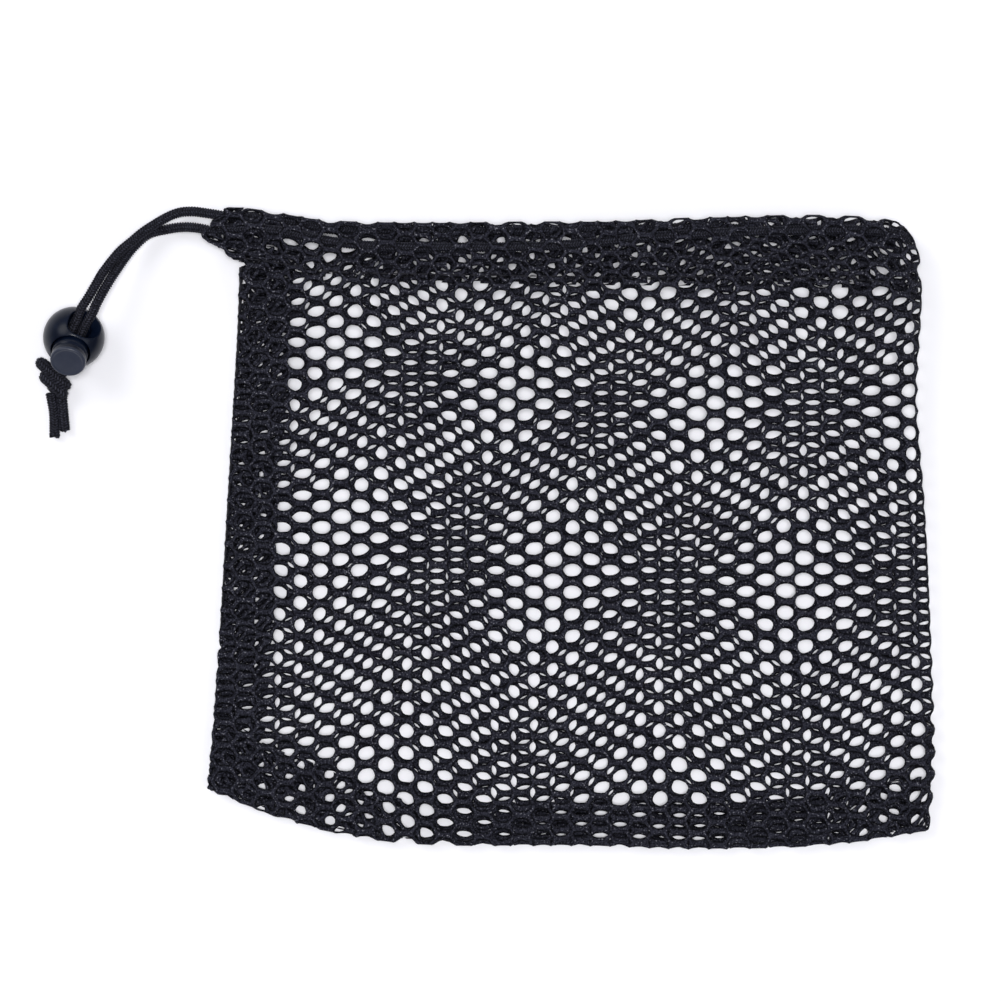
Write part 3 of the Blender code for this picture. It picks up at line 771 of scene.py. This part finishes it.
def turn_share(x):
    """The bottom's turned-in edge against its usual depth; wider towards both corners."""
    return (through(BOTTOM_TURN, x) - SEAM_MARGIN) / (ALLOWANCE - SEAM_MARGIN)


def hem_share(x):
    """The hem's free part against its usual depth; it hangs lower towards the right."""
    return 1 + (through(HEM_EDGE, x) - HEM_DEPTH) / (HEM_END - HEM_START)


def to_sheet(u, v):
    """A flat place's place on the sheet."""
    x = unrolled_x(u, on_plan(v))
    y = lay_up(x, v)[0]
    up = (v - low_axis(x)) / (top_axis(x) - low_axis(x)) * SHEET_TALL
    up = np.where(up < -SEAM_MARGIN, (up + SEAM_MARGIN) / turn_share(x) - SEAM_MARGIN, up)
    up = np.where(up > HEM_START, (up - HEM_START) / hem_share(x) + HEM_START, up)
    return (u - side_axis(y)) / girth(y) * SHEET_WIDE, up


def from_sheet(across, level):
    """The flat place that a place on the sheet comes from."""
    u, v = across - SHEET_WIDE / 4, level - SHEET_TALL / 2
    for _ in range(ROUNDS):
        x = unrolled_x(u, on_plan(v))
        turned_in = (level + SEAM_MARGIN) * turn_share(x) - SEAM_MARGIN
        hanging = (level - HEM_START) * hem_share(x) + HEM_START
        up = np.where(level < -SEAM_MARGIN, turned_in, level)
        up = np.where(level > HEM_START, hanging, up)
        v = mix(low_axis(x), top_axis(x), up / SHEET_TALL)
        y = lay_up(x, v)[0]
        u = side_axis(y) + across / SHEET_WIDE * girth(y)
    return u, v


# One hexagonal cell's corners, in ninths of a column and thirds of a step
COLUMN_PARTS = 9
STEP_PARTS = 3
CORNERS = [(6, 0), (3, 3), (-3, 3), (-6, 0), (-3, -3), (3, -3)]
SIDE_PARTS = 3                   # points on each of its sides
# The cells that are laid out, before the cloth's edges are cut
CELL_COLUMNS = (-26, 62)
CELL_STEPS = (-44, 40)
CELL_REACH = 3.5                 # a cell this far past an edge may still reach the cloth
CORNER_CLEAR = 1.5               # nothing is turned in at two edges at once
EDGE_REACH = 0.5                 # a cell belongs to an edge when its centre is this far past it


def cell_outline():
    """Places round one hexagonal cell."""
    places = []
    for (a, b), (c, d) in zip(CORNERS, CORNERS[1:] + CORNERS[:1]):
        places += [(a + (c - a) * k // SIDE_PARTS, b + (d - b) * k // SIDE_PARTS)
                   for k in range(SIDE_PARTS)]
    return np.array(places)


def hole_outline(count, cells):
    """Oval holes, a little different from cell to cell, in columns and steps."""
    c, s = np.cos(circle(count)), np.sin(circle(count))
    size = (np.abs(c) ** HOLE_POWER + np.abs(s) ** HOLE_POWER) ** (-1 / HOLE_POWER)
    wide = HOLE_WIDE / 2 / COLUMN_PITCH * size * c
    tall = HOLE_TALL / 2 / STEP_PITCH * size * s
    ripple = 1 + HOLE_UNEVEN * RNG.standard_normal((cells, 1))
    ripple = ripple + RIM_UNEVEN * RNG.standard_normal((cells, count))
    shift = HOLE_SHIFT * RNG.standard_normal((2, cells, 1))
    return wide * ripple + shift[0], tall * ripple + shift[1]


def choose_cells():
    """Every cell of the cloth: its column, its step, and the part that it belongs to."""
    c, r = np.meshgrid(np.arange(*CELL_COLUMNS), np.arange(*CELL_STEPS), indexing="ij")
    even = (c + r) % 2 == 0
    c, r = c[even], r[even]
    u, v = flat_place(c, r)
    across, up = to_sheet(u, v)
    beyond = np.maximum(-across, across - SHEET_WIDE)
    axis, radius = fold_x(on_plan(v)), fold_radius(on_plan(v))
    turning = (u > axis) & (u < axis + math.pi * radius)
    keep = (up < HEM_END + CELL_REACH) & (up > -ALLOWANCE - CELL_REACH)
    keep &= beyond < SIDE_ALLOWANCE + CELL_REACH
    keep &= (up > -CORNER_CLEAR) | (beyond < CORNER_CLEAR)
    keep &= (up < SEWN_TOP + CELL_REACH) | (beyond < CELL_REACH)
    which = np.where(u < axis, "_front", np.where(turning, "_turn", "_back"))
    part = np.where(beyond > EDGE_REACH, "side", "panel")
    part = np.where((up < -EDGE_REACH) & ~turning, "bottom", part)
    part = np.where(up > SHEET_TALL + EDGE_REACH, "hem", part)
    return c[keep], r[keep], np.char.add(part, which)[keep]


def web_mesh(c, r):
    """Cells as points (across, up, height) on the sheet, and faces: a web round every hole."""
    outline = cell_outline()
    count = len(outline)
    keys = np.stack([COLUMN_PARTS * c[:, None] + outline[:, 0],
                     STEP_PARTS * r[:, None] + outline[:, 1]], -1)
    corners, index = np.unique(keys.reshape(-1, 2), axis=0, return_inverse=True)
    index = index.reshape(len(c), count)
    web = to_sheet(*flat_place(corners[:, 0] / COLUMN_PARTS, corners[:, 1] / STEP_PARTS))
    web = np.stack(web, -1)
    wide, tall = hole_outline(count, len(c))
    rim = to_sheet(*flat_place(c[:, None] + wide, r[:, None] + tall))
    rim = np.stack(rim, -1).reshape(-1, 2)
    under, inner = len(web), 2 * len(web)
    height = np.repeat([CLOTH / 2, -CLOTH / 2, 0], [under, under, len(rim)])
    points = np.column_stack([np.vstack([web, web, rim]), height])
    rims = inner + np.arange(len(c) * count).reshape(len(c), count)
    following = np.roll(np.arange(count), -1)
    top = np.stack([index, index[:, following], rims[:, following], rims], -1)
    bottom = np.stack([rims, rims[:, following], index[:, following] + under, index + under], -1)
    faces = np.vstack([top.reshape(-1, 4), bottom.reshape(-1, 4)]).tolist()
    seen = {(a, b) for a, b in np.stack([index, index[:, following]], -1).reshape(-1, 2).tolist()}
    faces += [[b, a, a + under, b + under] for a, b in sorted(seen) if (b, a) not in seen]
    return points, faces


CREASES = 4                      # the half turn of a seam's edge is creased into so many parts,
HEM_CREASES = 6                  # and the hem's into so many
CUT_NEAR = 3                     # a cut goes through the faces this near its line
CUT_SNAP = 0.0005


def creases(start, radius, count):
    """The places of a half turn's creases; it goes towards lower places if radius is below 0."""
    return [start + math.pi * radius * k / count for k in range(count + 1)]


def cut_lines(low, high):
    """Where the sheet is creased: (axis, place) pairs between its low and high corners."""
    side = creases(0, -SIDE_BEND, CREASES) + creases(-ALLOWANCE, -SIDE_BEND, CREASES)
    lines = [(0, place) for place in side] + [(0, SHEET_WIDE - place) for place in side]
    lines += [(1, place) for place in creases(0, -SEAM_BEND, CREASES)]
    lines += [(1, place) for place in creases(SHEET_TALL, HEM_BEND, HEM_CREASES)]
    return [(axis, place) for axis, place in lines if low[axis] < place < high[axis]]


def trimmed(points, faces):
    """The web with its folds creased and its raw edges cut straight."""
    data = bpy.data.meshes.new("sheet")
    data.from_pydata(points.tolist(), [], faces)
    work = bmesh.new()
    work.from_mesh(data)
    bpy.data.meshes.remove(data)

    def slice_at(axis, place, outside=0.0):
        """Crease the web; or clear away what lies outside, which is +1 or -1, and close it."""
        normal = [0.0, 0.0, 0.0]
        normal[axis] = outside or 1.0
        spot = [0.0, 0.0, 0.0]
        spot[axis] = place
        past = {f: f.calc_center_median()[axis] - place for f in work.faces}
        near = [f for f, far in past.items() if abs(far) < CUT_NEAR or far * outside > 0]
        edges = list({e for f in near for e in f.edges})
        verts = list({v for f in near for v in f.verts})
        cut = bmesh.ops.bisect_plane(work, geom=near + edges + verts, dist=CUT_SNAP, plane_co=spot,
                                     plane_no=normal, clear_outer=bool(outside))
        if outside:
            rim = [e for e in cut["geom_cut"] if isinstance(e, bmesh.types.BMEdge) and e.is_boundary]
            bmesh.ops.holes_fill(work, edges=rim, sides=0)

    for axis, place in cut_lines(points.min(0), points.max(0)):
        slice_at(axis, place)
    slice_at(0, -SIDE_ALLOWANCE, -1.0)
    slice_at(0, SHEET_WIDE + SIDE_ALLOWANCE, 1.0)
    slice_at(1, -ALLOWANCE, -1.0)
    slice_at(1, HEM_END, 1.0)
    index = {v: k for k, v in enumerate(work.verts)}
    points = np.array([v.co for v in work.verts])
    faces = [[index[v] for v in f.verts] for f in work.faces]
    work.free()
    return points, faces


def knit(name, c, r):
    """One part of the cloth as real mesh: a web of yarn round every hole."""
    points, faces = trimmed(*web_mesh(c, r))
    u, v = from_sheet(points[:, 0], points[:, 1])
    corners = 1 - smooth(*PUCKER_LEFT, u) + smooth(*PUCKER_RIGHT, u) * (1 - smooth(*PUCKER_BACK, u))
    u = u + PUCKER * smooth(0, PUCKER_RISE, -points[:, 1]) * corners
    # where shade is painted: full on the webs' crests, falling to 0 at the holes' rims
    shade_crest = np.abs(points[:, 2]) / (CLOTH / 2)
    return make_mesh(name, lay_offset(u, v, points[:, 2]), faces, CLOTH_FINISH, shade_crest)


# Parts of the cloth: the node and its flat size
PARTS = {
    "panel_front": ("front_panel", (212, 178)),
    "panel_back": ("back_panel", (212, 178)),
    "panel_turn": ("right_fold", (16, 178)),
    "side_front": ("side_allowance_front", (29, 160)),
    "side_back": ("side_allowance_back", (29, 160)),
    "bottom_front": ("bottom_allowance_front", (205, 15.5)),
    "bottom_back": ("bottom_allowance_back", (205, 15.5)),
    "hem_front": ("front_hem", (200, 21)),
    "hem_back": ("back_hem", (200, 21)),
    "hem_turn": ("hem_turn", (14, 18)),
}


def make_cloth():
    c, r, part = choose_cells()
    for key, (node, (wide, tall)) in PARTS.items():
        mine = part == key
        piece = knit(node + "_mesh", c[mine], r[mine])
        settle(piece, "bag", node)


# Sewing thread

STITCH_IN = 1.6                  # the rows' distance from the edge that they hold
STITCH_LENGTH = 2.4
STITCH_GAP = 0.5
STITCH_SIDES = 8
STITCH_RINGS = 7
STITCH_DIP = 0.3                 # how far a stitch's ends go into the cloth
CHANNEL_DIP = 0.25
THREAD_R = 0.22
THREAD_END = 0.25                # a stitch's thickness at its ends, against its middle
THREAD_LIFT = 0.12               # from the cloth's surface to the thread's middle
ROW_POINTS = 40
ROW_STEP = 0.3
CHANNEL_ROW = (-96, 94)          # the rows' ends along the plan
SIDE_ROW = (-76, 70)
BOTTOM_ROW = (-102, 102)
ROLL_ENDS = (-30, 77)
ROLL_IN = 0.5
ROLL_R = (0.3, 0.55)             # the roll's half thickness at its lower and upper end
ROLL_TALL = 2.2
ROLL_WAVE = 0.12
ROLL_TWIST = 0.9                 # in radians a step
ROLL_POINTS = 90
ROLL_STEP = 0.4
ROLL_SIDES = 12


def stitch(route):
    """A short fat loop of thread, thinner at both ends."""
    t = np.linspace(-1, 1, len(route))
    reach = THREAD_R * np.maximum(1 - t ** 4, THREAD_END)
    return rings_round(route, reach[:, None], circle(STITCH_SIDES)).reshape(-1, 3)


def stitches(name, line, dip):
    """A row of running stitches along a line of points; their ends dip up or down."""
    line = smooth_route(line, ROW_STEP)
    walked = walked_along(line)
    dips = np.linspace(-1, 1, STITCH_RINGS)[:, None] ** 2 * (0, 0, dip)
    points, faces = [], []
    for start in np.arange(0, walked[-1] - STITCH_LENGTH, STITCH_LENGTH + STITCH_GAP):
        route = places_at(line, walked, start + np.linspace(0, STITCH_LENGTH, STITCH_RINGS))
        base = STITCH_RINGS * STITCH_SIDES * len(points)
        faces += closed_tube_faces(STITCH_RINGS, STITCH_SIDES, base)
        points.append(stitch(route + dips))
    return make_mesh(name, np.vstack(points), faces, THREAD_FINISH)


def on_channel(x, rho, side):
    """Along the hem's lower edge, in front (side 1) or behind (side -1)."""
    z = MID_Z + side * rho - (channel_drop(x) if side > 0 else 0)
    return np.array([x, top_y(x) + STITCH_IN - through(HEM_EDGE, x), z])


def between_layers(x, y):
    """The middle of the bag's thickness."""
    return np.array([x, y, (front_z(x, y) + CLOTH / 2) / 2])


def make_edge_roll():
    """The side seam is drawn into a narrow roll along the left edge, thinner towards the bottom."""
    ys = np.linspace(*ROLL_ENDS, ROLL_POINTS)
    route = smooth_route([between_layers(left_x(y) + ROLL_IN, y) for y in ys], ROLL_STEP)
    angle = circle(ROLL_SIDES)
    wave = np.sin(angle * 2 + np.arange(len(route))[:, None] * ROLL_TWIST)
    reach = np.linspace(*ROLL_R, len(route))[:, None] * (1 + ROLL_WAVE * wave)
    rings = rings_round(route, reach, angle, ROLL_TALL)
    faces = closed_tube_faces(len(route), ROLL_SIDES)
    return make_mesh("side_seam_roll", rings.reshape(-1, 3), faces, THREAD_FINISH)


def sew(name, line, dip):
    row = stitches(name + "_stitches", line, dip)
    settle(row, "bag", name + "_stitching")


def make_stitching():
    xs = np.linspace(*CHANNEL_ROW, ROW_POINTS)
    front = [on_channel(x, CLOTH_RHO + CLOTH / 2 + THREAD_LIFT, 1) for x in xs]
    back = [on_channel(x, CLOTH_RHO - 1.5 * CLOTH - GAP - THREAD_LIFT, -1) for x in xs]
    ys = np.linspace(*SIDE_ROW, ROW_POINTS)
    side = [between_layers(left_x(y) + STITCH_IN, y) for y in ys]
    xs = np.linspace(*BOTTOM_ROW, ROW_POINTS)
    bottom = [between_layers(x, bottom_y(x) + STITCH_IN) for x in xs]
    sew("front_channel", front, -CHANNEL_DIP)
    sew("back_channel", back, CHANNEL_DIP)
    sew("side_seam", side, STITCH_DIP)
    settle(make_edge_roll(), "bag", "side_seam_stitching")
    sew("bottom_seam", bottom, STITCH_DIP)


# The cord lock

BALL_R = 9.0
BALL_POINTS = 48                 # from pole to pole
BALL_GRAIN = 0.15                # the size of the surface's little faces
PLUNGER_GRAIN = 0.12
# below this height the barrel takes the darker ball plastic as painted shade, where it sits in the
# bore
BUTTON_LOW = 11.1                # the plunger is the lighter button above this height
LOCK_SIDES = 96
# Profiles round the button's axis: (radius, height) pairs
BORE = [(2.7, -8.0), (2.7, -6.2), (5.5, -6.2), (5.5, 4.4), (5.75, 6.2), (5.75, 10.5)]
BARREL = [(4.8, -3.6), (5.2, -3.2), (5.2, 8.4), (4.85, 8.9), (4.85, 9.5), (5.2, 9.9), (5.2, 11.4),
          (5.05, 11.8), (4.75, 12.0), (4.5, 11.97), (4.2, 11.8), (2.0, 11.9), (0.1, 11.92)]
# Sections of the holes for the cord: place along it, middle, half width, low side, high side
BALL_HOLE = [(-10.5, 0, 5.8, -5.0, 8.4), (-4.2, 0, 3.6, -2.5, 1.9), (3.4, 0, 3.6, -2.5, 1.9),
             (10.5, -3.2, 7.0, -2.9, 12.9)]
PLUNGER_HOLE = [(-8, 0, 3.8, -2.4, 4.5), (8, 0, 3.8, -2.4, 4.5)]
HOLE_SQUARE = 0.75               # a section's shape: 1 is an ellipse, less is squarer
SPRING_R = 1.9
SPRING_LOW = -7.475
SPRING_HIGH = -4.125
SPRING_TURNS = 3
SPRING_POINTS = 25               # in every turn
WIRE_R = 0.225
WIRE_SIDES = 10


def closed_rings(name, rings, finish):
    """A closed solid from rings of points, every ring with the same number."""
    faces = closed_tube_faces(*rings.shape[:2])
    made = make_mesh(name, rings.reshape(-1, 3), faces, finish)
    work = bmesh.new()
    work.from_mesh(made.data)
    bmesh.ops.recalc_face_normals(work, faces=work.faces)
    work.to_mesh(made.data)
    work.free()
    return made


def turned(name, profile, finish):
    """A solid turned round the button's axis."""
    radius, height = np.array(profile, float).T[..., None]
    angle = circle(LOCK_SIDES)
    rings = in_lock(radius * np.cos(angle), radius * np.sin(angle), height)
    return closed_rings(name, rings, finish)


def tunnel(name, sections):
    """A solid through rounded sections."""
    along, middle, half, low, high = np.array(sections, float).T[..., None]
    angle = circle(LOCK_SIDES)
    c, s = (np.sign(f) * np.abs(f) ** HOLE_SQUARE for f in (np.cos(angle), np.sin(angle)))
    rings = in_lock(along, middle + half * c, (low + high) / 2 + (high - low) / 2 * s)
    return closed_rings(name, rings, BALL_FINISH)


def carved(piece, tools, grain):
    """Cut the tools out of the piece and round its edges a little."""
    finish = piece.data.materials[0]
    for tool in tools:
        cut = piece.modifiers.new(tool.name, "BOOLEAN")
        cut.operation, cut.solver, cut.object = "DIFFERENCE", "MANIFOLD", tool
    skin = piece.modifiers.new("skin", "REMESH")
    skin.mode, skin.voxel_size, skin.use_smooth_shade = "VOXEL", grain * MM, True
    ease = piece.modifiers.new("ease", "SMOOTH")
    ease.factor, ease.iterations = 0.5, 5
    shape = piece.evaluated_get(bpy.context.evaluated_depsgraph_get())
    data = bpy.data.meshes.new_from_object(shape)
    piece.modifiers.clear()
    piece.data = data
    data.materials.clear()
    data.materials.append(finish)
    for tool in tools:
        bpy.data.objects.remove(tool)


def make_ball():
    """A ball with a bore for the plunger and a flared hole for the two strands."""
    arc = np.radians(np.linspace(-89.9, 89.9, BALL_POINTS))
    outline = np.stack([BALL_R * np.cos(arc), BALL_R * np.sin(arc)], 1)
    ball = turned("cord_lock_ball", outline, BALL_FINISH)
    carved(ball, [turned("bore", BORE, BALL_FINISH), tunnel("hole", BALL_HOLE)], BALL_GRAIN)
    settle(ball, "cord_lock", "lock_body")


def make_plunger():
    """A barrel with a cross hole; its outer end is the button, and its barrel is painted darker as
    shade.
    """
    plunger = turned("push_button", BARREL, BUTTON_FINISH)
    carved(plunger, [tunnel("cross_hole", PLUNGER_HOLE)], PLUNGER_GRAIN)
    # painted shade: the barrel's faces below the button take the darker ball plastic
    plunger.data.materials.append(BALL_FINISH)
    for face in plunger.data.polygons:
        out = (np.array(face.center) / MM - BALL_CENTRE).dot(lock_axes()[2])
        face.material_index = int(out < BUTTON_LOW)
    settle(plunger, "plunger", "lock_plunger")


def make_spring():
    """A coil of wire under the button, which squeezes it as it goes in; the coil is made fixed, at
    rest.
    """
    t = np.linspace(0, 1, SPRING_POINTS * SPRING_TURNS)
    turn = 2 * np.pi * SPRING_TURNS * t
    route = in_lock(SPRING_R * np.cos(turn), SPRING_R * np.sin(turn), mix(SPRING_LOW, SPRING_HIGH, t))
    coil = closed_rings("spring_coil", rings_round(route, WIRE_R, circle(WIRE_SIDES)), STEEL_FINISH)
    settle(coil, "cord_lock", "lock_spring")
    (in_lock(0, 0, SPRING_LOW - WIRE_R) * MM).tolist()
    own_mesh(coil)


make_camera()
make_cords()
make_channel_cord()
make_studio()
make_cloth()
make_stitching()
make_ball()
make_plunger()
make_spring()
